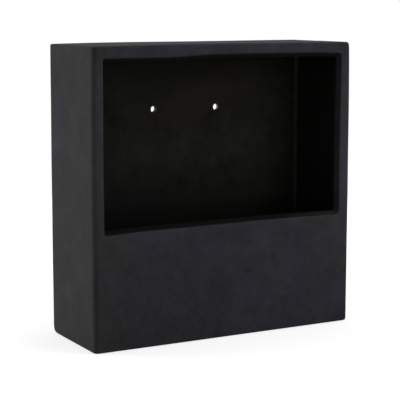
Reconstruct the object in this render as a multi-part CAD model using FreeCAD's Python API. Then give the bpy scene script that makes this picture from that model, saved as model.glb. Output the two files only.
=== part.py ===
import FreeCAD, Part
import math
import os

# Square wall planter: a shallow box of fibre-reinforced clay cement with a wide window over a
# soil trough, a bonded-in back plate with two fixing holes, and a brushed-on sealing coat.
# Millimetres. X runs to the right, Y from the front to the wall, Z up.
# The origin is under the middle of the box, on the face it stands on.

# Overall size
width = 400.0
depth = 140.0
height = 400.0

# Walls of the moulded shell
side_wall = 12.0
top_wall = 12.0
floor_wall = 12.0
front_wall = 10.0

# Window in the front wall, measured on its front face
stile_width = 15.5
rail_width = 15.5
panel_height = 155.0
window_corner_radius = 5.5
window_throat_radius = 2.5
window_draft = 5.5

# Outer edges of the shell
upright_edge_radius = 7.0
upright_rear_edge_radius = 1.5
level_front_edge_radius = 3.0
level_side_edge_radius = 2.5
top_rear_edge_radius = 1.5
bottom_rear_edge_radius = 12.0

# Back plate, set in from the rear rim
plate_thickness = 8.0
plate_inset = 9.0
plate_clearance = 0.5

# Two fixing holes on a level line
hole_diameter = 10.0
hole_spacing = 100.0
hole_below_top = 94.0

# Putty bead struck into the corners between the plate and the shell
bead_leg = 5.0
bead_hollow = 0.7

# Sealing coat on the inside
coat_thickness = 0.8

# Places worked out from the sizes above
right = width / 2
left = -right
rear = depth / 2
front = -rear
inner_right = right - side_wall
inner_left = -inner_right
inner_front = front + front_wall
inner_floor = floor_wall
inner_top = height - top_wall
plate_rear = rear - plate_inset
plate_front = plate_rear - plate_thickness
bead_front = plate_front - bead_leg
hole_height = height - hole_below_top

# How far a cutting tool runs past the face it leaves by
overrun = 20.0

axis_x = FreeCAD.Vector(1, 0, 0)
axis_y = FreeCAD.Vector(0, 1, 0)
axis_z = FreeCAD.Vector(0, 0, 1)


def block(x_range, y_range, z_range):
    """A box between two X, two Y and two Z values."""
    sizes = [high - low for low, high in (x_range, y_range, z_range)]
    corner = FreeCAD.Vector(x_range[0], y_range[0], z_range[0])
    return Part.makeBox(*sizes, corner)


def rounded_outline(a_range, b_range, radii, place):
    """A closed wire: a rectangle in a and b with an arc at each corner.

    radii go round from (low a, low b) to (high a, low b), (high a, high b), (low a, high b).
    place turns a pair (a, b) into a point in space.
    """
    corners = [
        (a_range[0], b_range[0]),
        (a_range[1], b_range[0]),
        (a_range[1], b_range[1]),
        (a_range[0], b_range[1]),
    ]
    starts = []
    middles = []
    ends = []
    for index, (a, b) in enumerate(corners):
        radius = radii[index]
        arrive = math.radians(90 * (index - 1))
        leave = math.radians(90 * index)
        start_a = a - radius * math.cos(arrive)
        start_b = b - radius * math.sin(arrive)
        end_a = a + radius * math.cos(leave)
        end_b = b + radius * math.sin(leave)
        centre_a = start_a + end_a - a
        centre_b = start_b + end_b - b
        reach = radius / math.hypot(a - centre_a, b - centre_b)
        starts.append(place(start_a, start_b))
        middles.append(place(centre_a + (a - centre_a) * reach, centre_b + (b - centre_b) * reach))
        ends.append(place(end_a, end_b))
    edges = []
    for index in range(len(corners)):
        following = (index + 1) % len(corners)
        edges.append(Part.Arc(starts[index], middles[index], ends[index]).toShape())
        edges.append(Part.LineSegment(ends[index], starts[following]).toShape())
    return Part.Wire(edges)


def outer_body():
    """The box's outside: what three rounded prisms, seen from above, front and side, share."""
    above = rounded_outline(
        (left, right),
        (front, rear),
        [upright_edge_radius, upright_edge_radius, upright_rear_edge_radius, upright_rear_edge_radius],
        lambda x, y: FreeCAD.Vector(x, y, 0),
    )
    ahead = rounded_outline(
        (left, right),
        (0, height),
        [level_side_edge_radius] * 4,
        lambda x, z: FreeCAD.Vector(x, front, z),
    )
    aside = rounded_outline(
        (front, rear),
        (0, height),
        [level_front_edge_radius, bottom_rear_edge_radius, top_rear_edge_radius, level_front_edge_radius],
        lambda y, z: FreeCAD.Vector(left, y, z),
    )
    upright = Part.Face(above).extrude(axis_z * height)
    straight = Part.Face(ahead).extrude(axis_y * depth)
    across = Part.Face(aside).extrude(axis_x * width)
    return upright.common(straight).common(across)


def window_outline(distance, radius, y):
    """The window's outline, drawn in by a distance from its front edge, at a depth y."""
    return rounded_outline(
        (left + stile_width + distance, right - stile_width - distance),
        (panel_height + distance, height - rail_width - distance),
        [radius] * 4,
        lambda x, z: FreeCAD.Vector(x, y, z),
    )


def window_opening():
    """The window's hollow: its four reveals close in by the draft from the front face to the inner one."""
    mouth = window_outline(0, window_corner_radius, front)
    throat = window_outline(window_draft, window_throat_radius, inner_front)
    solid, ruled = True, True
    return Part.makeLoft([mouth, throat], solid, ruled)


def make_shell():
    """The moulded box, open at the rear, with the window through its front wall."""
    hollow = block((inner_left, inner_right), (inner_front, rear + overrun), (inner_floor, inner_top))
    return outer_body().cut(hollow).cut(window_opening())


def fixing_holes(y_range):
    """Two level cylinders on the fixing holes' axes between two Y values."""
    holes = []
    for side in (-1, 1):
        base = FreeCAD.Vector(side * hole_spacing / 2, y_range[0], hole_height)
        holes.append(Part.makeCylinder(hole_diameter / 2, y_range[1] - y_range[0], base, axis_y))
    return holes


def drilled(plate):
    """A flat piece with the two fixing holes drilled through it."""
    for hole in fixing_holes((front, rear)):
        plate = plate.cut(hole)
    return plate


def make_plate():
    """The back plate, which drops into the shell from the rear with a clearance on every side."""
    return drilled(
        block(
            (inner_left + plate_clearance, inner_right - plate_clearance),
            (plate_front, plate_rear),
            (inner_floor + plate_clearance, inner_top - plate_clearance),
        )
    )


def make_bead(run):
    """A bead along X, in the corner at Y 0, Z 0, mitred at both ends and hollow on its free face.

    It lies under the plate's front face, which is at Y 0, and on a wall whose face is at Z 0.
    """
    corner = FreeCAD.Vector(-run / 2, 0, 0)
    on_wall = FreeCAD.Vector(-run / 2, -bead_leg, 0)
    on_plate = FreeCAD.Vector(-run / 2, 0, bead_leg)
    inward = FreeCAD.Vector(0, 1, -1).normalize()
    hollow_middle = (on_wall + on_plate) * 0.5 + inward * bead_hollow
    section = Part.Wire(
        [
            Part.LineSegment(corner, on_wall).toShape(),
            Part.Arc(on_wall, hollow_middle, on_plate).toShape(),
            Part.LineSegment(on_plate, corner).toShape(),
        ]
    )
    strip = Part.Face(section).extrude(axis_x * run)
    mitre_corners = [
        FreeCAD.Vector(-run / 2, -bead_leg, 0),
        FreeCAD.Vector(run / 2, -bead_leg, 0),
        FreeCAD.Vector(run / 2 - bead_leg, -bead_leg, bead_leg),
        FreeCAD.Vector(-run / 2 + bead_leg, -bead_leg, bead_leg),
    ]
    mitre = Part.Face(Part.makePolygon(mitre_corners + mitre_corners[:1])).extrude(axis_y * bead_leg)
    return strip.common(mitre)


def make_beads():
    """One bead along each wall, turned about Y so that it lies in its own corner."""
    inner_width = inner_right - inner_left
    inner_height = inner_top - inner_floor
    middle = (inner_floor + inner_top) / 2
    origin = FreeCAD.Vector(0, 0, 0)
    sides = {
        "bond_bead_bottom": (inner_width, 0, FreeCAD.Vector(0, plate_front, inner_floor)),
        "bond_bead_left": (inner_height, 90, FreeCAD.Vector(inner_left, plate_front, middle)),
        "bond_bead_top": (inner_width, 180, FreeCAD.Vector(0, plate_front, inner_top)),
        "bond_bead_right": (inner_height, 270, FreeCAD.Vector(inner_right, plate_front, middle)),
    }
    beads = {}
    for name, (run, turn, place) in sides.items():
        bead = make_bead(run)
        bead.rotate(origin, axis_y, turn)
        bead.translate(place)
        beads[name] = bead
    return beads


def make_shell_coat():
    """The coat on the shell's inside: a thin box, open at the rear and behind the window."""
    outside = block((inner_left, inner_right), (inner_front, bead_front), (inner_floor, inner_top))
    inside = block(
        (inner_left + coat_thickness, inner_right - coat_thickness),
        (inner_front + coat_thickness, bead_front + overrun),
        (inner_floor + coat_thickness, inner_top - coat_thickness),
    )
    opening = Part.Face(window_outline(window_draft, window_throat_radius, inner_front - overrun))
    return outside.cut(inside).cut(opening.extrude(axis_y * 2 * overrun))


def make_plate_coat():
    """The coat on the back plate's front face, between the beads."""
    return drilled(
        block(
            (inner_left + bead_leg, inner_right - bead_leg),
            (plate_front - coat_thickness, plate_front),
            (inner_floor + bead_leg, inner_top - bead_leg),
        )
    )


pieces = {
    "planter_shell": make_shell(),
    "back_plate": make_plate(),
    "shell_sealing_coat": make_shell_coat(),
    "plate_sealing_coat": make_plate_coat(),
}
pieces.update(make_beads())

os.makedirs("parts", exist_ok=True)
for name, shape in pieces.items():
    shape.exportStep("parts/" + name + ".step")
    print(name, len(shape.Solids), "solid", shape.isValid(), round(shape.Volume / 1000, 1), "cm3")
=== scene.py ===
import math

import bpy
import numpy as np
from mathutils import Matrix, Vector


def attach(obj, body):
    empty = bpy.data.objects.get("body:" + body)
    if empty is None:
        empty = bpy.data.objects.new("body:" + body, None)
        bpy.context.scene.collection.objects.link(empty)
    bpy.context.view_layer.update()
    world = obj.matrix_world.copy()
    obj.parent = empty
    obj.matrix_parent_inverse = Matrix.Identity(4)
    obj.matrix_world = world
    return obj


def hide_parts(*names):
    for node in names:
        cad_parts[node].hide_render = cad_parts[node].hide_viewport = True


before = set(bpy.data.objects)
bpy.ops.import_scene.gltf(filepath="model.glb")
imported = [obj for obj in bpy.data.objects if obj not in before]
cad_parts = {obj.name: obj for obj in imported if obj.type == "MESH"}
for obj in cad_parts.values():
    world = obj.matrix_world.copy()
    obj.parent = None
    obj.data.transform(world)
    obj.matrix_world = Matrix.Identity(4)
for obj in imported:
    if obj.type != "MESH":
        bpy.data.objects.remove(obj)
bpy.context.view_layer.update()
mm = 0.001

# ------------------------------------------------------------------------------------------
# Camera: a long lens at the photograph's angle, to the left of the planter's front and a
# little above its top, with no shift.
# ------------------------------------------------------------------------------------------
lens_mm = 115.15
sensor_mm = 36
camera_place = (-0.87389, -1.57622, 0.44515)
camera_turn = math.radians(-28.86)
camera_dip = math.radians(8.5)

lens = bpy.data.cameras.new("studio_camera")
lens.lens = lens_mm
lens.sensor_width = sensor_mm
camera = bpy.data.objects.new("studio_camera", lens)
camera.location = camera_place
camera.rotation_euler = (math.pi / 2 - camera_dip, 0, camera_turn)
bpy.context.scene.collection.objects.link(camera)
bpy.context.scene.camera = camera
bpy.context.scene.view_settings.view_transform = "Standard"

# ------------------------------------------------------------------------------------------
# Studio: softboxes behind the left side, high and low ahead of the front, and above, and a dim
# room. What the camera sees past the planter, directly or in a gloss, is plain white.
# ------------------------------------------------------------------------------------------
room_level = 0.09
white = (1, 1, 1, 1)
warm_light = (1, 0.985, 0.95)
rosy_light = (1, 0.99, 1)
plain_light = (1, 1, 1)


def softbox(name, place, aim, width, height, level, colour):
    """An area lamp at a place, facing an aim. Its level is 1 where a white card that faces it
    from the aim's place comes out white: the power is pi squared times the distance squared."""
    lamp = bpy.data.lights.new(name, "AREA")
    lamp.shape = "RECTANGLE"
    lamp.size = width
    lamp.size_y = height
    lamp.color = colour
    way = Vector(aim) - Vector(place)
    lamp.energy = level * (math.pi * way.length) ** 2
    box = bpy.data.objects.new(name, lamp)
    box.location = place
    box.rotation_euler = way.to_track_quat("-Z", "Y").to_euler()
    bpy.context.scene.collection.objects.link(box)
    box.visible_camera = False
    box.visible_glossy = False


softbox("left_softbox", (-1.3, 0.75, 0.35), (-0.2, 0, 0.2), 0.8, 0.8, level=1.06, colour=warm_light)
softbox("high_softbox", (0.7, -0.9, 1.3), (0, -0.07, 0.3), 0.8, 0.8, level=0.42, colour=rosy_light)
softbox("low_softbox", (0.5, -2.2, 0.2), (0, -0.07, 0.25), 1.8, 0.8, level=0.34, colour=rosy_light)
softbox("top_softbox", (0.3, 0.2, 2.4), (0, 0, 0.3), 1.6, 1.6, level=0.4, colour=plain_light)

world = bpy.data.worlds.new("white_room")
world.use_nodes = True
bpy.context.scene.world = world


def seen_directly(tree):
    """A factor that is 1 for camera, glossy and transmission rays and 0 for the rest."""
    path = tree.nodes.new("ShaderNodeLightPath")
    factor = path.outputs["Is Camera Ray"]
    for name in ("Is Glossy Ray", "Is Transmission Ray"):
        larger = tree.nodes.new("ShaderNodeMath")
        larger.operation = "MAXIMUM"
        tree.links.new(factor, larger.inputs[0])
        tree.links.new(path.outputs[name], larger.inputs[1])
        factor = larger.outputs[0]
    return factor


room = world.node_tree
room.nodes.clear()
dim_room = room.nodes.new("ShaderNodeBackground")
dim_room.inputs["Color"].default_value = white
dim_room.inputs["Strength"].default_value = room_level
white_room = room.nodes.new("ShaderNodeBackground")
white_room.inputs["Color"].default_value = white
white_room.inputs["Strength"].default_value = 1
room_choice = room.nodes.new("ShaderNodeMixShader")
room_output = room.nodes.new("ShaderNodeOutputWorld")
room.links.new(seen_directly(room), room_choice.inputs[0])
room.links.new(dim_room.outputs[0], room_choice.inputs[1])
room.links.new(white_room.outputs[0], room_choice.inputs[2])
room.links.new(room_choice.outputs[0], room_output.inputs["Surface"])

# ------------------------------------------------------------------------------------------
# Floor: a plain white disc that keeps the planter's soft shadow. It glows a little, more
# towards its rim, and so is lost in the white behind it.
# ------------------------------------------------------------------------------------------
floor_radius = 1.3
floor_drop = 0.3 * mm
ring_count = 12
spoke_count = 96
innermost_ring = 0.01
glow_beside = 0.72
glow_at_rim = 1.0
glow_rises_from = 0.25
glow_rises_to = 0.85
floor_reply = 0.5
floor_bounce = 0.25

rings = np.linspace(innermost_ring, 1, ring_count)[:, None] * floor_radius
around = np.linspace(0, 2 * np.pi, spoke_count + 1)[:-1]
floor_level = np.full((ring_count, spoke_count), -floor_drop)
disc = np.stack([rings * np.cos(around), rings * np.sin(around), floor_level], axis=-1)
order = np.arange(ring_count * spoke_count).reshape(ring_count, spoke_count)
outward = np.roll(order, -1, axis=1)
disc_quads = np.stack([order[:-1], order[1:], outward[1:], outward[:-1]], axis=-1).reshape(-1, 4)
floor_mesh = bpy.data.meshes.new("floor")
floor_mesh.from_pydata(disc.reshape(-1, 3).tolist(), [], disc_quads.tolist() + [order[0].tolist()])
floor = bpy.data.objects.new("floor", floor_mesh)
bpy.context.scene.collection.objects.link(floor)

paper = bpy.data.materials.new("white_paper")
paper.use_nodes = True
sheet_tree = paper.node_tree
sheet_tree.nodes.clear()
bounce = sheet_tree.nodes.new("ShaderNodeBsdfDiffuse")
bounce.inputs["Color"].default_value = (floor_bounce, floor_bounce, floor_bounce, 1)
reply = sheet_tree.nodes.new("ShaderNodeBsdfDiffuse")
reply.inputs["Color"].default_value = (floor_reply, floor_reply, floor_reply, 1)
glow = sheet_tree.nodes.new("ShaderNodeEmission")
glow.inputs["Color"].default_value = white
off_middle = sheet_tree.nodes.new("ShaderNodeVectorMath")
off_middle.operation = "LENGTH"
floor_place = sheet_tree.nodes.new("ShaderNodeTexCoord").outputs["Object"]
sheet_tree.links.new(floor_place, off_middle.inputs[0])
brighter = sheet_tree.nodes.new("ShaderNodeMapRange")
brighter.inputs["From Min"].default_value = glow_rises_from
brighter.inputs["From Max"].default_value = glow_rises_to
brighter.inputs["To Min"].default_value = glow_beside
brighter.inputs["To Max"].default_value = glow_at_rim
sheet_tree.links.new(off_middle.outputs["Value"], brighter.inputs["Value"])
sheet_tree.links.new(brighter.outputs["Result"], glow.inputs["Strength"])
shown = sheet_tree.nodes.new("ShaderNodeAddShader")
choice = sheet_tree.nodes.new("ShaderNodeMixShader")
output = sheet_tree.nodes.new("ShaderNodeOutputMaterial")
sheet_tree.links.new(reply.outputs[0], shown.inputs[0])
sheet_tree.links.new(glow.outputs[0], shown.inputs[1])
sheet_tree.links.new(seen_directly(sheet_tree), choice.inputs[0])
sheet_tree.links.new(bounce.outputs[0], choice.inputs[1])
sheet_tree.links.new(shown.outputs[0], choice.inputs[2])
sheet_tree.links.new(choice.outputs[0], output.inputs["Surface"])
floor_mesh.materials.append(paper)

# ------------------------------------------------------------------------------------------
# Shell: the box itself, moulded in one piece from black fibre-reinforced clay cement, open at
# the rear, with the window through its front wall. Its edges are rubbed round by hand, its
# outlines bow a little, and its window's edges are not quite straight.
# ------------------------------------------------------------------------------------------
half_width = 200 * mm
half_depth = 70 * mm
full_height = 400 * mm
side_wall = 12 * mm
front_wall = 10 * mm
window_half = 184.5 * mm
window_bottom = 155 * mm
window_top = 384.5 * mm
window_draft = 5.5 * mm
left_corner = 2 * mm
top_right_corner = 5 * mm
bottom_right_corner = 7 * mm
throat_corner = 2.5 * mm
upright_radius = 7 * mm
upright_rear_radius = 1.5 * mm
top_rear_radius = 1.5 * mm
bottom_rear_radius = 12 * mm
level_front_radius = 3 * mm
level_side_radius = 2.5 * mm
inner_half = half_width - side_wall
inner_floor = side_wall
inner_top = full_height - side_wall
inner_front = front_wall - half_depth
touching = 1e-6


def spaced(stops, finest, widest):
    """Places along a line: steps are finest at each stop and widen in proportion to the
    distance from the nearest stop, up to the widest."""
    growth = 0.33
    samples = 2001
    places = [np.array(stops[:1])]
    for low, high in zip(stops[:-1], stops[1:]):
        fine = np.linspace(low, high, samples)
        step = np.minimum(finest + growth * np.minimum(fine - low, high - fine), widest)
        count = np.concatenate([[0], np.cumsum(np.diff(fine) / step[1:])])
        total = max(1, round(count[-1]))
        places.append(np.interp(np.linspace(0, count[-1], total + 1), count, fine)[1:])
    return np.concatenate(places)


def within(places, low, high):
    """The places that lie between two stops, both included."""
    reach = 1e-7
    return places[(places > low - reach) & (places < high + reach)]


def flat_face(axis, towards, level, spans, gaps=()):
    """One flat face as a grid over two parameters, the places along its two other axes.

    axis and towards give its outward direction and level its place on that axis. A gap is a
    rectangle, low and high corner, whose cells are left out.
    """
    first, second = (axis + 1) % 3, (axis + 2) % 3
    if towards < 0:
        first, second = second, first
    along, across = np.meshgrid(spans[first], spans[second], indexing="ij")
    points = np.zeros(along.shape + (3,))
    points[..., axis] = level
    points[..., first] = along
    points[..., second] = across
    order = np.arange(along.size).reshape(along.shape)
    quads = np.stack([order[:-1, :-1], order[1:, :-1], order[1:, 1:], order[:-1, 1:]], axis=-1)
    quads = quads.reshape(-1, 4)
    points = points.reshape(-1, 3)
    middles = points[quads].mean(axis=1)
    for low, high in gaps:
        others = [first, second]
        above = middles[:, others] > np.array(low)[others]
        below = middles[:, others] < np.array(high)[others]
        quads = quads[~(above & below).all(axis=1)]
        middles = points[quads].mean(axis=1)
    return points, quads


def welded(faces):
    """All faces as one skin: points that fall on the same place become one point."""
    points = np.concatenate([face[0] for face in faces])
    starts = np.cumsum([0] + [len(face[0]) for face in faces[:-1]])
    quads = np.concatenate([face[1] + start for face, start in zip(faces, starts)])
    same = np.unique(np.round(points, 8), axis=0, return_inverse=True)
    points, quads = same[0], same[1].reshape(-1)[quads]
    used, quads = np.unique(quads, return_inverse=True)
    return points[used], quads.reshape(-1, 4)


def open_box(spans, outer, inner, mouth):
    """A thick box, open at the rear, with a square-cut window in its front, as one skin.

    outer, inner and mouth are low and high corners of the box, its hollow and its window.
    """
    faces = []
    rear = outer[1][1]
    for (low, high), sign in ((outer, 1), (inner, -1)):
        front = low[1]
        here = [
            within(spans[0], low[0], high[0]),
            within(spans[1], front, rear),
            within(spans[2], low[2], high[2]),
        ]
        for axis in (0, 2):
            faces.append(flat_face(axis, -sign, low[axis], here))
            faces.append(flat_face(axis, sign, high[axis], here))
        faces.append(flat_face(1, -sign, front, here, [mouth]))
    rim_x = within(spans[0], outer[0][0], outer[1][0])
    rim_z = within(spans[2], outer[0][2], outer[1][2])
    faces.append(flat_face(1, 1, rear, [rim_x, spans[1], rim_z], [inner]))
    reveal = [
        within(spans[0], mouth[0][0], mouth[1][0]),
        within(spans[1], outer[0][1], inner[0][1]),
        within(spans[2], mouth[0][2], mouth[1][2]),
    ]
    for axis in (0, 2):
        faces.append(flat_face(axis, 1, mouth[0][axis], reveal))
        faces.append(flat_face(axis, -1, mouth[1][axis], reveal))
    return welded(faces)


def rounded_off(along, across, radius, reach=0.0):
    """Turns squares round the origin into circles: a point whose larger coordinate is m moves
    to the distance m from the origin. Beyond the radius this fades out over the reach."""
    a = np.maximum(along, 0)
    b = np.maximum(across, 0)
    larger = np.maximum(a, b)
    distance = np.maximum(np.hypot(a, b), 1e-12)
    fade = np.clip((larger - radius) / max(reach, 1e-9), 0, 1)
    fade = fade * fade * (3 - 2 * fade)
    change = (1 - fade) * (larger / distance - 1)
    change = np.where(larger > 0, change, 0)
    return along + change * a, across + change * b


def rubbed(points, quads, amount, rounds):
    """Rubs edges round: each point moves towards the mean of its neighbours by its amount, a
    share from 0 to 1, over a number of rounds."""
    ends = np.concatenate([quads[:, [0, 1]], quads[:, [1, 2]], quads[:, [2, 3]], quads[:, [3, 0]]])
    ends = np.concatenate([ends, ends[:, ::-1]])
    neighbours = np.bincount(ends[:, 0], minlength=len(points))
    for _ in range(rounds):
        mean = np.stack(
            [np.bincount(ends[:, 0], points[ends[:, 1], k], len(points)) for k in range(3)], axis=1
        )
        mean /= neighbours[:, None]
        points = points + amount[:, None] * (mean - points)
    return points


def near(distance, reach):
    """A share that is 1 at distance 0 and falls smoothly to 0 at the reach."""
    share = np.clip(1 - np.abs(distance) / reach, 0, 1)
    return share * share * (3 - 2 * share)


def window_rounded(points, depth_share):
    """Rounds the window's corners, those on the left least. The radius goes from the mouth's to
    the throat's with depth."""
    points = points.copy()
    reach = 9 * mm
    corners = (
        (-1, -1, window_bottom, left_corner),
        (-1, 1, window_top, left_corner),
        (1, -1, window_bottom, bottom_right_corner),
        (1, 1, window_top, top_right_corner),
    )
    for side, end, level, mouth_radius in corners:
        throat_radius = min(mouth_radius, throat_corner)
        radius = mouth_radius + (throat_radius - mouth_radius) * depth_share
        along = side * points[:, 0] - (window_half - radius)
        across = end * (points[:, 2] - level) + radius
        along, across = rounded_off(along, across, radius, reach)
        here = side * points[:, 0] > 0
        points[:, 0] = np.where(here, side * (along + window_half - radius), points[:, 0])
        points[:, 2] = np.where(here, end * (across - radius) + level, points[:, 2])
    return points


def window_closed_in(points, depth_share):
    """Draws the window in by the draft: x and z are stretched between the fixed hollow walls
    and the moving window edges, in proportion to the depth share."""
    points = points.copy()
    x_from = [-inner_half, -window_half, window_half, inner_half]
    x_to = [-inner_half, window_draft - window_half, window_half - window_draft, inner_half]
    z_from = [inner_floor, window_bottom, window_top, inner_top]
    z_to = [inner_floor, window_bottom + window_draft, window_top - window_draft, inner_top]
    stretched_x = np.interp(points[:, 0], x_from, x_to)
    stretched_z = np.interp(points[:, 2], z_from, z_to)
    points[:, 0] += depth_share * (stretched_x - points[:, 0])
    points[:, 2] += depth_share * (stretched_z - points[:, 2])
    return points


def eased(value, low, high):
    """A share that rises smoothly from 0 at low to 1 at high."""
    share = np.clip((value - low) / (high - low), 0, 1)
    return share * share * (3 - 2 * share)


def hand_cut(points):
    """The window's edges as a hand leaves them: each runs off its line by a sum of slow waves.
    The sill droops at its left end, the head steps up left of the middle and comes down again
    near its right end, and the right jamb leans in. The shift fades away from the window."""
    x, z = points[:, 0], points[:, 2]
    droop_place, droop_reach = -180 * mm, 28 * mm
    sill = 1.5 * mm + 0.45 * mm * np.sin(17 * x + 0.6)
    sill -= 1.7 * mm * np.exp(-(((x - droop_place) / droop_reach) ** 2))
    head = 3.1 * mm * eased(x, -95 * mm, -20 * mm) - 1.5 * mm * eased(x, 135 * mm, 175 * mm)
    head += 0.15 * mm * np.sin(41 * x) - 1.3 * mm
    jamb = 0.35 * mm * np.sin(19 * z + 1.0) - 2.3 * mm * (x > 0)
    beyond_sill, beyond_head, beyond_jamb = 60 * mm, 14 * mm, 14 * mm
    behind_front, jamb_middle, jamb_reach = 30 * mm, 270 * mm, 170 * mm
    front = near(np.maximum(points[:, 1] - inner_front, 0), behind_front)
    shift_x = jamb * near(np.abs(x) - window_half, beyond_jamb)
    shift_x *= near(z - jamb_middle, jamb_reach) ** 0.25
    shift_z = sill * near(z - window_bottom, beyond_sill) + head * near(z - window_top, beyond_head)
    moved = points.copy()
    moved[:, 0] += front * shift_x
    moved[:, 2] += front * shift_z
    return moved


def hand_bowed(points):
    """The outside as it leaves the mould: the sides draw in by up to 2 mm towards the top and
    the top sinks towards its left end, in proportion to squares of the height and the width,
    the upper right corner is worn, and the faces carry slow, shallow waves. Nothing moves
    outwards."""
    x, y, z = points.T
    high = z / full_height
    left = 0.4 * mm * (1 - high) ** 2 + 1.9 * mm * high**2
    right = 1.0 * mm * high**2 + 0.8 * mm * np.clip((high - 0.9) / 0.1, 0, 1) ** 2
    worn_reach, worn_by = 9 * mm, 1.2 * mm
    worn = np.clip((x - half_width) / worn_reach + 1, 0, 1)
    worn = worn_by * (worn * np.clip((z - full_height) / worn_reach + 1, 0, 1)) ** 2
    side_waves = 0.15 * mm * (1 + np.sin(23 * y + 31 * z) * np.sin(17 * z - 1.0))
    front_waves = 0.2 * mm * (1 + np.sin(21 * x + 9 * z) * np.sin(26 * z - 13 * x + 0.5))
    top_waves = 0.15 * mm * (1 + np.sin(19 * x + 23 * y))
    sunk = 1.3 * mm * np.clip((-x / half_width - 0.2) / 0.8, 0, 1) ** 2
    moved = points.copy()
    outside = near(np.abs(x) - half_width, side_wall)
    moved[:, 0] -= np.sign(x) * outside * (np.where(x < 0, left, right) + side_waves) + worn
    moved[:, 1] += near(y + half_depth, front_wall) * front_waves
    moved[:, 2] -= near(z - full_height, side_wall) * (top_waves + sunk) + worn
    return moved


finest = 0.6 * mm
widest = 5.5 * mm
x_stops = [-half_width, -inner_half, -window_half, window_half, inner_half, half_width]
y_stops = [-half_depth, inner_front, half_depth]
z_stops = [0, inner_floor, window_bottom, window_top, inner_top, full_height]
shell_spans = [spaced(stops, finest, widest) for stops in (x_stops, y_stops, z_stops)]
shell_mouth = ((-window_half, -half_depth, window_bottom), (window_half, inner_front, window_top))
sharp, shell_quads = open_box(
    shell_spans,
    ((-half_width, -half_depth, 0), (half_width, half_depth, full_height)),
    ((-inner_half, inner_front, inner_floor), (inner_half, half_depth, inner_top)),
    shell_mouth,
)

# The outer edges: first the rear's level ones, then the uprights, then the level ones round
# the top and the bottom, which follow the uprights' rounding.
shaped = sharp.copy()
for end, level, radius in ((-1, 0, bottom_rear_radius), (1, full_height, top_rear_radius)):
    up = end * (shaped[:, 2] - level) + radius
    back = shaped[:, 1] - (half_depth - radius)
    back, up = rounded_off(back, up, radius)
    shaped[:, 1] = back + half_depth - radius
    shaped[:, 2] = end * (up - radius) + level
for side in (-1, 1):
    for face, radius in ((-1, upright_radius), (1, upright_rear_radius)):
        out = side * shaped[:, 0] - (half_width - radius)
        ahead = face * shaped[:, 1] - (half_depth - radius)
        here = (side * sharp[:, 0] > 0) & (face * sharp[:, 1] > 0)
        out, ahead = rounded_off(out, ahead, radius)
        shaped[:, 0] = np.where(here, side * (out + half_width - radius), shaped[:, 0])
        shaped[:, 1] = np.where(here, face * (ahead + half_depth - radius), shaped[:, 1])
plan_radius = np.where(shaped[:, 1] < 0, upright_radius, upright_rear_radius)
core_x = np.clip(shaped[:, 0], plan_radius - half_width, half_width - plan_radius)
core_y = np.clip(shaped[:, 1], plan_radius - half_depth, half_depth - plan_radius)
off_x = shaped[:, 0] - core_x
off_y = shaped[:, 1] - core_y
off = np.maximum(np.hypot(off_x, off_y), 1e-12)
level_radius = np.interp(
    shaped[:, 1],
    [-half_depth, upright_radius - half_depth, half_depth - bottom_rear_radius, half_depth],
    [level_front_radius, level_side_radius, level_side_radius, top_rear_radius],
)
for end, level in ((-1, 0), (1, full_height)):
    up = end * (shaped[:, 2] - level) + level_radius
    out = off - plan_radius + level_radius
    new_out, new_up = rounded_off(out, up, level_radius)
    change = np.where(off > 1e-9, (new_out - out) / off, 0)
    shaped[:, 0] += change * off_x
    shaped[:, 1] += change * off_y
    shaped[:, 2] = end * (new_up - level_radius) + level

# The window: its depth share is 0 on the front face, 1 at the throat, and falls back to 0 on
# the hollow's walls.
inside = (np.abs(sharp[:, 0]) < inner_half + touching) & (sharp[:, 2] > inner_floor - touching)
inside &= (sharp[:, 2] < inner_top + touching) & (sharp[:, 1] > touching - half_depth)
behind_throat = np.maximum(sharp[:, 1] - inner_front, 0)
depth_share = np.clip((sharp[:, 1] + half_depth) / front_wall, 0, 1)
depth_share = depth_share * near(behind_throat, 20 * mm) * inside
front_part = sharp[:, 1] < inner_front + touching
rounded = window_rounded(shaped, depth_share)
shaped = np.where(front_part[:, None], rounded, shaped)
shaped = window_closed_in(shaped, depth_share)

# Every edge that a hand or a brush has gone over is rubbed: the outer corners most, then the
# window's and the rear rim's edges.
beside_x = np.maximum(np.abs(sharp[:, 0]) - window_half, 0)
beside_z = np.maximum(np.maximum(window_bottom - sharp[:, 2], sharp[:, 2] - window_top), 0)
off_window = np.hypot(beside_x, beside_z)
off_front_arris = np.hypot(off_window, sharp[:, 1] + half_depth)
off_throat_arris = np.hypot(off_window, sharp[:, 1] - inner_front)
to_side = half_width - np.abs(sharp[:, 0])
to_level = np.minimum(sharp[:, 2], full_height - sharp[:, 2])
to_face = half_depth - np.abs(sharp[:, 1])
nearest, outer_edge, _ = np.sort(np.stack([to_side, to_level, to_face]), axis=0)
off_hollow = np.minimum(sharp[:, 2] - inner_floor, inner_top - sharp[:, 2])
off_hollow = np.minimum(off_hollow, inner_half - np.abs(sharp[:, 0]))
rim_edge = np.hypot(half_depth - sharp[:, 1], off_hollow)
rub = np.maximum(near(off_front_arris, 2.6 * mm), 0.8 * near(off_throat_arris, 2.2 * mm))
rub = np.maximum(rub, 0.6 * near(outer_edge, 6 * mm) * (nearest < touching))
rub = np.maximum(rub, 0.7 * near(rim_edge, 2 * mm) * inside)
shaped = rubbed(shaped, shell_quads, 0.7 * rub, rounds=7)
shaped = hand_bowed(hand_cut(shaped))

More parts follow.
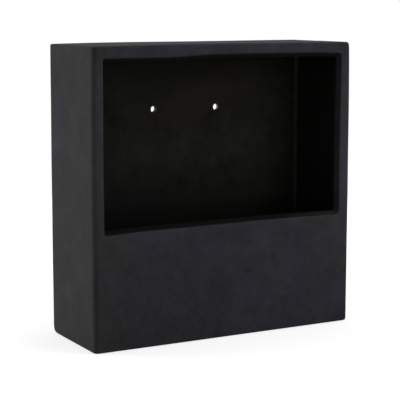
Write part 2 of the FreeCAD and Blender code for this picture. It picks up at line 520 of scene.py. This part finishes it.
# What the clay's finish reads: worn edges, the places that the sealing coat laps on, and those
# left bare. On the right jamb and at the sill's right end the coat is thin or rubbed through.
edge_wear = np.maximum(near(outer_edge, 4 * mm), near(off_front_arris, 3 * mm))
bare_from = 50 * mm
lap = 1.2 * mm
reveal_depth = (sharp[:, 1] + half_depth) / front_wall
thin_coat = 0.75 * np.clip(reveal_depth / 0.35, 0, 1) * (sharp[:, 0] > window_half - touching)
sill_worn = np.clip((sharp[:, 0] / half_width - 0.45) / 0.4, 0, 1)
sill_worn = sill_worn * (sharp[:, 2] < window_bottom + touching)
thin_coat = np.maximum(thin_coat, 0.5 * near(reveal_depth - 0.5, 0.45) * sill_worn)
coated = near(off_window, lap) * np.clip(reveal_depth / 0.22, 0, 1)
coated = coated * (1 - thin_coat) * (sharp[:, 1] <= inner_front + touching)
in_hollow = (sharp[:, 1] > inner_front - touching) * inside
coated = np.maximum(coated, in_hollow * (sharp[:, 1] < bare_from))
bare = np.clip((sharp[:, 1] - half_depth + lap) / lap, 0, 1)
bare = np.maximum(bare, inside * (sharp[:, 1] > bare_from))


def made_piece(name, points, faces, finish, shares=None, crease=None):
    """A named object from points and faces, smooth-shaded, with its finish. shares are named
    numbers at the points, which the finish reads. Edges sharper than the crease stay sharp."""
    mesh = bpy.data.meshes.new(name)
    mesh.from_pydata(points.tolist(), [], [list(face) for face in faces])
    mesh.polygons.foreach_set("use_smooth", np.ones(len(mesh.polygons), dtype=bool))
    for share_name, values in (shares or {}).items():
        share = mesh.attributes.new(share_name, "FLOAT", "POINT")
        share.data.foreach_set("value", values.astype(np.float32))
    mesh.materials.append(finish)
    mesh.update()
    if crease:
        mesh.set_sharp_from_angle(angle=math.radians(crease))
    made = bpy.data.objects.new(name, mesh)
    bpy.context.scene.collection.objects.link(made)
    return made


def new_finish(name, roughness, specular):
    """A material with a surface shader: returns it, its node tree, its shader and its place."""
    finish = bpy.data.materials.new(name)
    finish.use_nodes = True
    tree = finish.node_tree
    surface = tree.nodes["Principled BSDF"]
    surface.inputs["Roughness"].default_value = roughness
    surface.inputs["Specular IOR Level"].default_value = specular
    place = tree.nodes.new("ShaderNodeTexCoord").outputs["Object"]
    return finish, tree, surface, place


def cloud(tree, place, scale, detail, roughness=0.5, distortion=0.0, stretch=None, turn=None):
    """Cloudy noise at a scale per metre. stretch multiplies the scale along x, y and z."""
    if stretch or turn:
        mapping = tree.nodes.new("ShaderNodeMapping")
        mapping.inputs["Scale"].default_value = stretch or (1, 1, 1)
        mapping.inputs["Rotation"].default_value = turn or (0, 0, 0)
        tree.links.new(place, mapping.inputs["Vector"])
        place = mapping.outputs["Vector"]
    node = tree.nodes.new("ShaderNodeTexNoise")
    node.inputs["Scale"].default_value = scale
    node.inputs["Detail"].default_value = detail
    node.inputs["Roughness"].default_value = roughness
    node.inputs["Distortion"].default_value = distortion
    tree.links.new(place, node.inputs["Vector"])
    return node.outputs["Fac"]


def specks(tree, place, scale, size):
    """Small round specks, 1 at their middles and 0 off them, from the distance to scattered
    points."""
    node = tree.nodes.new("ShaderNodeTexVoronoi")
    node.inputs["Scale"].default_value = scale
    tree.links.new(place, node.inputs["Vector"])
    return levels(tree, node.outputs["Distance"], size, 0)


def levels(tree, value, from_low, from_high, to_low=0, to_high=1):
    """Maps one range of a value to another, held at the ends."""
    node = tree.nodes.new("ShaderNodeMapRange")
    node.inputs["From Min"].default_value = from_low
    node.inputs["From Max"].default_value = from_high
    node.inputs["To Min"].default_value = to_low
    node.inputs["To Max"].default_value = to_high
    tree.links.new(value, node.inputs["Value"])
    return node.outputs["Result"]


def joined(tree, operation, first, second):
    """The sum, product or other join of two values; either may be a plain number."""
    node = tree.nodes.new("ShaderNodeMath")
    node.operation = operation
    for socket, value in zip(node.inputs, (first, second)):
        if isinstance(value, (int, float)):
            socket.default_value = value
        else:
            tree.links.new(value, socket)
    return node.outputs[0]


def blended(tree, *parts):
    """The sum of some values, each times its weight."""
    total = None
    for value, weight in parts:
        part = joined(tree, "MULTIPLY", value, weight)
        total = part if total is None else joined(tree, "ADD", total, part)
    return total


def tinted(tree, share, first, second):
    """A colour between two: the first where the share is 0, the second where it is 1."""
    node = tree.nodes.new("ShaderNodeMix")
    node.data_type = "RGBA"
    tree.links.new(share, node.inputs["Factor"])
    colours = [socket for socket in node.inputs if socket.type == "RGBA"]
    for socket, colour in zip(colours, (first, second)):
        if isinstance(colour, tuple):
            socket.default_value = colour + (1,)
        else:
            tree.links.new(colour, socket)
    return [socket for socket in node.outputs if socket.type == "RGBA"][0]


def raised(tree, height, distance):
    """A bump of a height field, its full range being the distance."""
    node = tree.nodes.new("ShaderNodeBump")
    node.inputs["Strength"].default_value = 1
    node.inputs["Distance"].default_value = distance
    tree.links.new(height, node.inputs["Height"])
    return node.outputs["Normal"]


def parts_of(tree, place):
    """The place's x, y and z, in metres."""
    node = tree.nodes.new("ShaderNodeSeparateXYZ")
    tree.links.new(place, node.inputs["Vector"])
    return node.outputs["X"], node.outputs["Y"], node.outputs["Z"]


def stain(tree, place, middle, half_size, scale, tilt=0.0):
    """A soft, cloudy-edged patch: 1 near its middle, 0 beyond its half size. The distance from
    the middle, in half sizes, is disturbed by cloud. The tilt turns it about y."""
    mapping = tree.nodes.new("ShaderNodeMapping")
    mapping.vector_type = "TEXTURE"
    mapping.inputs["Location"].default_value = middle
    mapping.inputs["Rotation"].default_value = (0, tilt, 0)
    mapping.inputs["Scale"].default_value = half_size
    tree.links.new(place, mapping.inputs["Vector"])
    length = tree.nodes.new("ShaderNodeVectorMath")
    length.operation = "LENGTH"
    tree.links.new(mapping.outputs["Vector"], length.inputs[0])
    edge = joined(tree, "ADD", length.outputs["Value"], cloud(tree, place, scale, 4, 0.6))
    return levels(tree, edge, 1.0, 1.7, 1, 0)


def share_of(tree, name):
    """A number that the piece's points carry."""
    node = tree.nodes.new("ShaderNodeAttribute")
    node.attribute_name = name
    return node.outputs["Fac"]


def clay_finish():
    """Matt black fibreclay: cloudy dark grey, finely mottled and pitted, a little paler where
    its edges are rubbed, darker where the sealing coat laps on, raw grey on the rear rim."""
    finish, tree, surface, place = new_finish("black_fibreclay", roughness=0.78, specular=0.05)
    broad = cloud(tree, place, 9, 3, 0.5)
    patch = cloud(tree, place, 34, 4, 0.55, 0.8)
    mottle = cloud(tree, place, 105, 5, 0.62, 0.6)
    grain = cloud(tree, place, 900, 3, 0.6)
    pit_chance = levels(tree, cloud(tree, place, 60, 2), 0.52, 0.62)
    pits = joined(tree, "MULTIPLY", specks(tree, place, 330, 0.16), pit_chance)
    hole_chance = levels(tree, cloud(tree, place, 23, 1), 0.5, 0.56)
    air_holes = joined(tree, "MULTIPLY", specks(tree, place, 85, 0.085), hole_chance)
    pits = joined(tree, "MAXIMUM", pits, air_holes)
    # Broad tones as the photograph shows them, partly the clay's own tone and partly painted light
    # and shade: the front is palest under the window and at the left of its foot, and darker at its
    # head.
    x, y, z = parts_of(tree, place)
    leftward = levels(tree, x, -half_width, -60 * mm, 1, 0)
    front_tone_and_painted_light = blended(
        tree,
        (levels(tree, z, 30 * mm, 200 * mm, -0.060, 0.045), 1),
        (levels(tree, x, -half_width, half_width, -0.01, 0.01), 1),
        (levels(tree, z, 320 * mm, full_height, 0, -0.075), 1),
        (leftward, levels(tree, z, 30 * mm, 110 * mm, 0.095, 0)),
        (leftward, levels(tree, z, 350 * mm, 385 * mm, 0, -0.09)),
    )
    on_front = levels(tree, y, 6 * mm - half_depth, 1 * mm - half_depth)
    # Every face is painted darker towards the foot: painted shade near the floor.
    painted_foot_shade = levels(tree, z, 0, 60 * mm, -0.03, 0)
    tone = blended(tree, (broad, 0.3), (patch, 0.32), (mottle, 0.38), (front_tone_and_painted_light, on_front), (painted_foot_shade, 1))
    tone = levels(tree, tone, 0.33, 0.68)
    neutral = tinted(tree, tone, (0.0252, 0.0251, 0.0258), (0.0490, 0.0488, 0.0500))
    violet = tinted(tree, tone, (0.0255, 0.0245, 0.0310), (0.0495, 0.0476, 0.0596))
    greyer_side = levels(tree, x, -half_width, 50 * mm - half_width, -0.19, 0)
    hue = joined(tree, "ADD", greyer_side, cloud(tree, place, 15, 2))
    colour = tinted(tree, levels(tree, hue, 0.30, 0.52), neutral, violet)
    # The pits and air holes are painted darker: painted shade in the pits.
    painted_pit_shade = (0.012, 0.012, 0.013)
    colour = tinted(tree, joined(tree, "MULTIPLY", pits, 0.6), colour, painted_pit_shade)
    rubbed_pale = (0.052, 0.051, 0.054)
    wear = levels(tree, mottle, 0.4, 0.65, 0, 0.12)
    wear = joined(tree, "MULTIPLY", share_of(tree, "edge_wear"), wear)
    colour = tinted(tree, wear, colour, rubbed_pale)
    coat_lap = (0.0049, 0.0048, 0.0046)
    colour = tinted(tree, share_of(tree, "coated"), colour, coat_lap)
    raw_clay = tinted(tree, mottle, (0.040, 0.039, 0.037), (0.075, 0.072, 0.068))
    colour = tinted(tree, share_of(tree, "bare"), colour, raw_clay)
    tree.links.new(colour, surface.inputs["Base Color"])
    tree.links.new(levels(tree, mottle, 0.3, 0.7, 0.72, 0.86), surface.inputs["Roughness"])
    height = blended(tree, (mottle, 1), (grain, 0.25), (pits, -0.6))
    tree.links.new(raised(tree, height, 0.35 * mm), surface.inputs["Normal"])
    return finish


shell = made_piece(
    "fibreclay_shell",
    shaped,
    shell_quads,
    clay_finish(),
    {"edge_wear": edge_wear, "coated": coated, "bare": bare},
)
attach(shell, "root")
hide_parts("planter_shell")

# ------------------------------------------------------------------------------------------
# Back plate: a flat plate of the same clay, left bare, which drops into the shell from the
# rear. It has two drilled holes for the wall's hooks or screws, and its back shows the glass
# strands and the float's marks.
# ------------------------------------------------------------------------------------------
plate_half = 187.5 * mm
plate_low = 12.5 * mm
plate_high = 387.5 * mm
plate_front = 53 * mm
plate_back = 61 * mm
# The CAD's holes have a radius of 5 mm. These are a little narrower, so that they pass about as
# much light as the photograph shows.
hole_radius = 4.8 * mm
hole_off_middle = 50 * mm
hole_middles = (-hole_off_middle, hole_off_middle)
hole_level = 306 * mm


def holes_turned_round(points):
    """Turns the two square-cut holes into round ones, and fades out over a reach beyond them."""
    reach = 10 * mm
    grip = 16 * mm
    points = points.copy()
    for middle in hole_middles:
        x = points[:, 0] - middle
        z = points[:, 2] - hole_level
        near_hole = np.maximum(np.abs(x), np.abs(z)) < grip
        new_x, new_z = rounded_off(np.abs(x), np.abs(z), hole_radius, reach)
        points[:, 0] = np.where(near_hole, middle + np.sign(x) * new_x, points[:, 0])
        points[:, 2] = np.where(near_hole, hole_level + np.sign(z) * new_z, points[:, 2])
    return points


def drilled_plate(half, low, high, front, back, finest, widest):
    """A flat plate with the two holes, as one skin: two faces, four rims and the bores."""
    across_thickness = 2 * mm
    hole_stops = [middle + edge * hole_radius for middle in hole_middles for edge in (-1, 1)]
    spans = [
        spaced([-half] + hole_stops + [half], finest, widest),
        spaced([front, back], finest, across_thickness),
        spaced([low, hole_level - hole_radius, hole_level + hole_radius, high], finest, widest),
    ]
    holes = []
    for middle in hole_middles:
        low_corner = (middle - hole_radius, front, hole_level - hole_radius)
        high_corner = (middle + hole_radius, back, hole_level + hole_radius)
        holes.append((low_corner, high_corner))
    faces = [flat_face(1, -1, front, spans, holes), flat_face(1, 1, back, spans, holes)]
    for axis, ends in ((0, (-half, half)), (2, (low, high))):
        faces.append(flat_face(axis, -1, ends[0], spans))
        faces.append(flat_face(axis, 1, ends[1], spans))
    for low_corner, high_corner in holes:
        bore = [within(spans[k], low_corner[k], high_corner[k]) for k in range(3)]
        for axis in (0, 2):
            faces.append(flat_face(axis, 1, low_corner[axis], bore))
            faces.append(flat_face(axis, -1, high_corner[axis], bore))
    return welded(faces)


def off_holes(points):
    """Distance from the edge of the nearer hole, in the plate's plane."""
    x, z = np.abs(points[:, 0]) - hole_off_middle, points[:, 2] - hole_level
    return np.hypot(x, z) - hole_radius


plate_points, plate_quads = drilled_plate(
    plate_half, plate_low, plate_high, plate_front, plate_back, finest=0.9 * mm, widest=5 * mm
)
plate_points = holes_turned_round(plate_points)

# The left bore runs askew, as the light seen through it suggests. The plate's back isn't seen:
# the float's marks and the chips round its holes are guessed.
through = (plate_points[:, 1] - plate_front) / (plate_back - plate_front)
on_left = plate_points[:, 0] < 0
bored = near(off_holes(plate_points), 6 * mm) * through
plate_points[:, 0] += bored * np.where(on_left, -0.7 * mm, 0.0)
plate_points[:, 2] += bored * np.where(on_left, 0.5 * mm, -0.1 * mm)
on_back = plate_points[:, 1] > plate_back - 0.1 * mm
plate_x, _, plate_z = plate_points.T
chipped = near(off_holes(plate_points), 3.5 * mm)
round_hole = np.arctan2(plate_z - hole_level, np.abs(plate_x) - hole_off_middle)
lip = np.sin(3 * round_hole + 31 * plate_x)
float_marks = np.sin(46 * plate_x + 19 * np.sin(7 * plate_z)) * np.sin(29 * plate_z + 1.3)
plate_points[:, 1] -= on_back * (0.25 * mm * (1 + float_marks) + 0.5 * mm * chipped * (1.1 + lip))
# The bores' pale core, partly painted light from behind the plate, is full in the right bore and
# faint in the left.
in_bore = near(off_holes(plate_points), 1.6 * mm) * np.where(on_left, 0.3, 1.0)


def bare_clay_finish():
    """Bare fibreclay: warm dark grey, cloudy from its mixing, with pale glass strands lying every
    way at the skin, fine sand pits and a paler core in the drilled bores, which is partly the
    broken core and partly painted light from behind the plate."""
    finish, tree, surface, place = new_finish("bare_fibreclay", roughness=0.85, specular=0.12)
    broad = cloud(tree, place, 14, 4, 0.6, 0.8)
    sand = cloud(tree, place, 420, 4, 0.7)
    strands = None
    for number, angle in enumerate((0.35, 1.15, 2.0, 2.75)):
        field = cloud(tree, place, 46, 2, 0.5, 0.35, (1, 1, 9), (0, angle, 0.4 * number))
        off_line = joined(tree, "ABSOLUTE", joined(tree, "SUBTRACT", field, 0.5), 0.0)
        strand = levels(tree, off_line, 0.0, 0.012, 1, 0)
        chance = levels(tree, cloud(tree, place, 38 + 9 * number, 1), 0.5, 0.58)
        strand = joined(tree, "MULTIPLY", strand, chance)
        strands = strand if strands is None else joined(tree, "MAXIMUM", strands, strand)
    pit_chance = levels(tree, broad, 0.45, 0.6)
    pits = joined(tree, "MULTIPLY", specks(tree, place, 210, 0.2), pit_chance)
    tone = levels(tree, blended(tree, (broad, 0.7), (sand, 0.3)), 0.35, 0.65)
    colour = tinted(tree, tone, (0.036, 0.0345, 0.032), (0.062, 0.059, 0.0545))
    glass = (0.115, 0.110, 0.100)
    colour = tinted(tree, joined(tree, "MULTIPLY", strands, 0.55), colour, glass)
    # The sand pits are painted darker: painted shade in the pits.
    painted_pit_shade = (0.018, 0.017, 0.016)
    colour = tinted(tree, joined(tree, "MULTIPLY", pits, 0.7), colour, painted_pit_shade)
    # A paler core in the bores: partly the clay's broken core, partly painted light from behind the
    # plate.
    pale_core_and_painted_light = (0.21, 0.205, 0.19)
    core = levels(tree, sand, 0.35, 0.65, 0.25, 1)
    core = joined(tree, "MULTIPLY", share_of(tree, "in_bore"), core)
    colour = tinted(tree, core, colour, pale_core_and_painted_light)
    tree.links.new(colour, surface.inputs["Base Color"])
    tree.links.new(levels(tree, sand, 0.3, 0.7, 0.78, 0.92), surface.inputs["Roughness"])
    height = blended(tree, (sand, 0.5), (strands, 0.35), (pits, -0.8))
    tree.links.new(raised(tree, height, 0.45 * mm), surface.inputs["Normal"])
    return finish


plate = made_piece(
    "drilled_back_plate",
    plate_points,
    plate_quads,
    bare_clay_finish(),
    {"in_bore": in_bore},
    crease=40,
)
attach(plate, "root")
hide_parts("back_plate")

# ------------------------------------------------------------------------------------------
# Bonding beads: clay putty pressed into the four corners between the plate and the shell and
# struck with a fingertip, so that each is hollow and a little uneven. They mitre where they
# meet.
# ------------------------------------------------------------------------------------------
bead_leg = 5 * mm
bead_hollow = 0.9 * mm


def struck_bead(run, phase):
    """One bead along x: a profile of three sides carried along its run. The free side is an arc
    between the two toes, and the toes and the arc swell and shrink with slow waves. Each point
    stops short of the run's end by its own height, which makes the mitre."""
    arc_points, run_points = 9, 181
    share = np.linspace(0, 1, arc_points)
    steps = np.linspace(-1, 1, run_points)[:, None]
    off_ends = 1 - steps**8
    wave = 0.12 * np.sin(23 * steps + phase) + 0.08 * np.sin(57 * steps + 2 * phase)
    wave = wave * off_ends
    toe = bead_leg * (1 - 0.5 * np.abs(wave) - 0.05 * off_ends)
    sag = bead_hollow * (1 + wave) * 4 * share * (1 - share) / math.sqrt(2)
    depth = np.maximum(toe * (1 - share) - sag, 0)
    height = np.maximum(toe * share - sag, 0)
    corner = np.zeros_like(depth[:, :1])
    depth = np.concatenate([depth, corner], axis=1)
    height = np.concatenate([height, corner], axis=1)
    along = steps * (run / 2 - height)
    points = np.stack([along, -depth, height], axis=-1)
    rows, columns = depth.shape
    order = np.arange(rows * columns).reshape(rows, columns)
    following = np.roll(order, -1, axis=1)
    quads = np.stack([order[:-1], order[1:], following[1:], following[:-1]], axis=-1).reshape(-1, 4)
    caps = [order[0].tolist(), order[-1][::-1].tolist()]
    return points.reshape(-1, 3), quads.tolist() + caps


def putty_finish():
    """Grey putty: finely sandy, smeared along by the finger, a shade paler than the coat."""
    finish, tree, surface, place = new_finish("bonding_putty", roughness=0.8, specular=0.12)
    sand = cloud(tree, place, 520, 4, 0.7)
    smear = cloud(tree, place, 70, 4, 0.6, 0.5)
    tone = blended(tree, (smear, 0.6), (sand, 0.4))
    spread = levels(tree, tone, 0.35, 0.65)
    colour = tinted(tree, spread, (0.022, 0.0215, 0.019), (0.038, 0.037, 0.033))
    tree.links.new(colour, surface.inputs["Base Color"])
    tree.links.new(levels(tree, sand, 0.3, 0.7, 0.72, 0.9), surface.inputs["Roughness"])
    tree.links.new(raised(tree, tone, 0.4 * mm), surface.inputs["Normal"])
    return finish


putty = putty_finish()
inner_middle = (inner_floor + inner_top) / 2
inner_height = inner_top - inner_floor
bead_places = {
    "bottom": (2 * inner_half, 0, (0, plate_front, inner_floor)),
    "left": (inner_height, 90, (-inner_half, plate_front, inner_middle)),
    "top": (2 * inner_half, 180, (0, plate_front, inner_top)),
    "right": (inner_height, 270, (inner_half, plate_front, inner_middle)),
}
for number, (side, (run, turn, place)) in enumerate(bead_places.items()):
    bead_points, bead_faces = struck_bead(run, phase=1.7 * number)
    cosine = round(math.cos(math.radians(turn)))
    sine = round(math.sin(math.radians(turn)))
    turned = bead_points.copy()
    turned[:, 0] = cosine * bead_points[:, 0] + sine * bead_points[:, 2]
    turned[:, 2] = cosine * bead_points[:, 2] - sine * bead_points[:, 0]
    bead = made_piece("putty_bead_" + side, turned + np.array(place), bead_faces, putty, crease=50)
    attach(bead, "root")
    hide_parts("bond_bead_" + side)

# ------------------------------------------------------------------------------------------
# Sealing coats: a thin bituminous coat brushed over the shell's inside and over the plate's
# front before they are joined. It lies thicker in the corners and in the brush's ridges.
# ------------------------------------------------------------------------------------------
coat_thickness = 0.8 * mm
coat_rear = plate_front - bead_leg


def brushed_coat_finish():
    """Brushed coat: warm near-black, patchy where it soaked in, with faint ridges left by the
    brush and a dull sheen where it lies thick."""
    finish, tree, surface, place = new_finish("sealing_coat", roughness=0.7, specular=0.05)
    patch = cloud(tree, place, 13, 4, 0.55, 0.9)
    blotch = cloud(tree, place, 48, 4, 0.6, 0.5)
    strokes = cloud(tree, place, 30, 5, 0.6, 0.3, (1, 1, 11))
    cross_strokes = cloud(tree, place, 30, 5, 0.6, 0.3, (11, 1, 1))
    which = levels(tree, cloud(tree, place, 9, 1), 0.45, 0.55)
    other = joined(tree, "SUBTRACT", 1.0, which)
    brushed = blended(tree, (strokes, which), (cross_strokes, other))
    x, _, z = parts_of(tree, place)
    paler_right = levels(tree, x, 60 * mm, 130 * mm, 0, 0.07)
    on_plate = levels(tree, x, 165 * mm, 180 * mm, 1, 0)
    tone = blended(tree, (patch, 0.55), (blotch, 0.3), (brushed, 0.15), (paler_right, on_plate))
    thick, soaked = (0.0066, 0.0064, 0.0051), (0.0218, 0.0213, 0.0181)
    colour = tinted(tree, levels(tree, tone, 0.36, 0.62), thick, soaked)
    # Stains, each a colour, its strength, its middle, half size, fineness and tilt: rust above
    # the right hole, ochre left of the left one, and a bluish bloom low on the left.
    stains = (
        ((0.0250, 0.0180, 0.0150), 0.8, (24, 53, 322), (74, 30, 26), 42, -17),
        ((0.0215, 0.0190, 0.0110), 0.6, (-78, 53, 306), (22, 30, 12), 60, 0),
        ((0.0110, 0.0115, 0.0130), 0.6, (-85, 53, 165), (60, 40, 45), 30, 0),
    )
    for stain_colour, strength, middle, half_size, fineness, tilt in stains:
        middle = Vector(middle) * mm
        half_size = Vector(half_size) * mm
        share = stain(tree, place, middle, half_size, fineness, math.radians(tilt))
        colour = tinted(tree, joined(tree, "MULTIPLY", share, strength), colour, stain_colour)
    # In the photograph the coat is darker towards the foot, the head and the left wall. That
    # darkening is painted shade, as cast by the front wall, the head and the left jamb.
    outside_painted_shade = joined(
        tree,
        "MULTIPLY",
        levels(tree, z, 160 * mm, 250 * mm, 0.32, 1),
        levels(tree, z, 330 * mm, 375 * mm, 1, 0.25),
    )
    outside_painted_shade = joined(tree, "MULTIPLY", outside_painted_shade, levels(tree, x, -160 * mm, -100 * mm, 0.72, 1))
    colour = tinted(tree, outside_painted_shade, (0.0035, 0.0034, 0.0030), colour)
    tree.links.new(colour, surface.inputs["Base Color"])
    tree.links.new(levels(tree, patch, 0.35, 0.65, 0.62, 0.85), surface.inputs["Roughness"])
    height = blended(tree, (brushed, 0.6), (blotch, 0.4))
    tree.links.new(raised(tree, height, 0.5 * mm), surface.inputs["Normal"])
    return finish


coat_finish = brushed_coat_finish()
coat_finest = 0.8 * mm
skin_half = inner_half - coat_thickness
skin_front = inner_front + coat_thickness
skin_floor = inner_floor + coat_thickness
skin_top = inner_top - coat_thickness
coat_x_stops = [-inner_half, -skin_half, -window_half, window_half, skin_half, inner_half]
coat_y_stops = [inner_front, skin_front, coat_rear]
coat_z_stops = [inner_floor, skin_floor, window_bottom, window_top, skin_top, inner_top]
coat_stops = (coat_x_stops, coat_y_stops, coat_z_stops)
coat_sharp, coat_quads = open_box(
    [spaced(stops, coat_finest, widest=6 * mm) for stops in coat_stops],
    ((-inner_half, inner_front, inner_floor), (inner_half, coat_rear, inner_top)),
    ((-skin_half, skin_front, skin_floor), (skin_half, coat_rear, skin_top)),
    ((-window_half, inner_front, window_bottom), (window_half, skin_front, window_top)),
)
behind_skin = coat_sharp[:, 1] - skin_front
coat_share = near(np.maximum(behind_skin, 0), 20 * mm)
coat_rounded = window_rounded(coat_sharp, np.ones(len(coat_sharp)))
coat_points = np.where((behind_skin < touching)[:, None], coat_rounded, coat_sharp)
coat_points = window_closed_in(coat_points, coat_share)

# The coat pools in the hollow's corners, whose points are rubbed into a curve.
off_side = skin_half - np.abs(coat_sharp[:, 0])
off_floor_or_top = np.minimum(coat_sharp[:, 2] - skin_floor, skin_top - coat_sharp[:, 2])
off_walls = np.stack([off_side, off_floor_or_top, np.maximum(behind_skin, 0)])
off_corner = np.sort(np.abs(off_walls), axis=0)[1]
on_skin = (off_side > -touching) & (off_floor_or_top > -touching) & (behind_skin > -touching)
pool = near(off_corner, 6 * mm) * on_skin
coat_points = rubbed(coat_points, coat_quads, 0.7 * pool, rounds=6)
coat_points = hand_cut(coat_points)
shell_coat = made_piece("brushed_shell_coat", coat_points, coat_quads, coat_finish, crease=50)
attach(shell_coat, "root")
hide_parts("shell_sealing_coat")

plate_coat_front = plate_front - coat_thickness
plate_coat_points, plate_coat_quads = drilled_plate(
    inner_half - bead_leg,
    inner_floor + bead_leg,
    inner_top - bead_leg,
    plate_coat_front,
    plate_front,
    coat_finest,
    widest=4.5 * mm,
)
plate_coat_points = holes_turned_round(plate_coat_points)
on_front = plate_coat_points[:, 1] < plate_front - 0.5 * coat_thickness
coat_x, _, coat_z = plate_coat_points.T
ridges = np.sin(210 * coat_z + 3 * np.sin(31 * coat_x)) * np.sin(37 * coat_x + 0.8)
drips = near(off_holes(plate_coat_points), 2 * mm)
plate_coat_points[:, 1] += on_front * (0.08 * mm * (1 + ridges) + 0.35 * mm * drips)
plate_coat = made_piece(
    "brushed_plate_coat", plate_coat_points, plate_coat_quads, coat_finish, crease=50
)
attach(plate_coat, "root")
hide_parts("plate_sealing_coat")
